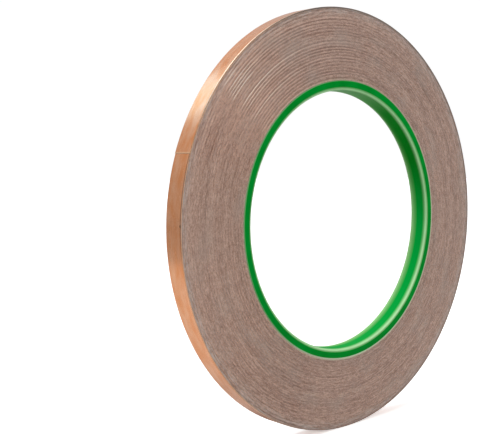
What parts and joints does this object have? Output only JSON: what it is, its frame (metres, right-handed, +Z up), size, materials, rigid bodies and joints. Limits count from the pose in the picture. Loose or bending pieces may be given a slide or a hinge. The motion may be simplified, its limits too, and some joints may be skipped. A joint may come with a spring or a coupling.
{
  "type": "copper foil tape roll",
  "caption": "Roll of narrow adhesive-backed copper foil tape wound on a green plastic ring core, standing on edge, with a free end that lifts from the roll and foil that peels from its liner.",
  "frame": {"origin": "middle of the core's bore, on the roll's axis and halfway across its width", "axes": "+Y along the roll's axis, away from the face that the picture shows; +Z up, with the roll standing on its edge; the tape winds outwards turning from +X towards +Z"},
  "size_m": [0.1236, 0.0064, 0.1237],
  "materials": {
    "core_plastic": "satin",
    "wound_edge": "satin",
    "copper_foil": "satin",
    "adhesive": "satin",
    "liner_paper": "matte"
  },
  "bodies": {
    "roll": {"core_ring": "core_plastic", "wound_pack": "wound_edge", "outer_liner": "liner_paper", "outer_adhesive": "adhesive", "outer_foil": "copper_foil"},
    "tail_1": {"tail_liner_1": "liner_paper", "tail_adhesive_1": "adhesive", "tail_foil_1": "copper_foil"},
    "tail_2": {"tail_liner_2": "liner_paper", "tail_adhesive_2": "adhesive", "tail_foil_2": "copper_foil"},
    "tail_3": {"tail_liner_3": "liner_paper", "tail_adhesive_3": "adhesive", "tail_foil_3": "copper_foil"},
    "tail_4": {"tail_liner_4": "liner_paper", "tail_adhesive_4": "adhesive", "tail_foil_4": "copper_foil"},
    "tail_5": {"tail_liner_5": "liner_paper", "tail_adhesive_5": "adhesive", "tail_foil_5": "copper_foil"},
    "peeling_end": {"adhesive_end": "adhesive", "foil_end": "copper_foil"}
  },
  "joints": [
    {"name": "tape_end_lift", "type": "hinge", "parent": "roll", "child": "tail_1", "pos_m": [-0.03236, 0, 0.05277], "axis": [0, 1, 0], "range_deg": [0, 14]},
    {"name": "tape_end_bend_2", "type": "hinge", "parent": "tail_1", "child": "tail_2", "pos_m": [-0.03939, 0, 0.04775], "axis": [0, 1, 0], "range_deg": [0, 14]},
    {"name": "tape_end_bend_3", "type": "hinge", "parent": "tail_2", "child": "tail_3", "pos_m": [-0.04565, 0, 0.04181], "axis": [0, 1, 0], "range_deg": [0, 14]},
    {"name": "tape_end_bend_4", "type": "hinge", "parent": "tail_3", "child": "tail_4", "pos_m": [-0.05102, 0, 0.03506], "axis": [0, 1, 0], "range_deg": [0, 14]},
    {"name": "tape_end_bend_5", "type": "hinge", "parent": "tail_4", "child": "tail_5", "pos_m": [-0.05541, 0, 0.02762], "axis": [0, 1, 0], "range_deg": [0, 14]},
    {"name": "foil_peel", "type": "hinge", "parent": "tail_5", "child": "peeling_end", "pos_m": [-0.05686, 0, 0.02449], "axis": [0, 1, 0], "range_deg": [0, 70]}
  ],
  "couplings": [
    {"joint": "tape_end_bend_2", "follows": "tape_end_lift", "ratio": 1},
    {"joint": "tape_end_bend_3", "follows": "tape_end_lift", "ratio": 1},
    {"joint": "tape_end_bend_4", "follows": "tape_end_lift", "ratio": 1},
    {"joint": "tape_end_bend_5", "follows": "tape_end_lift", "ratio": 1}
  ]
}
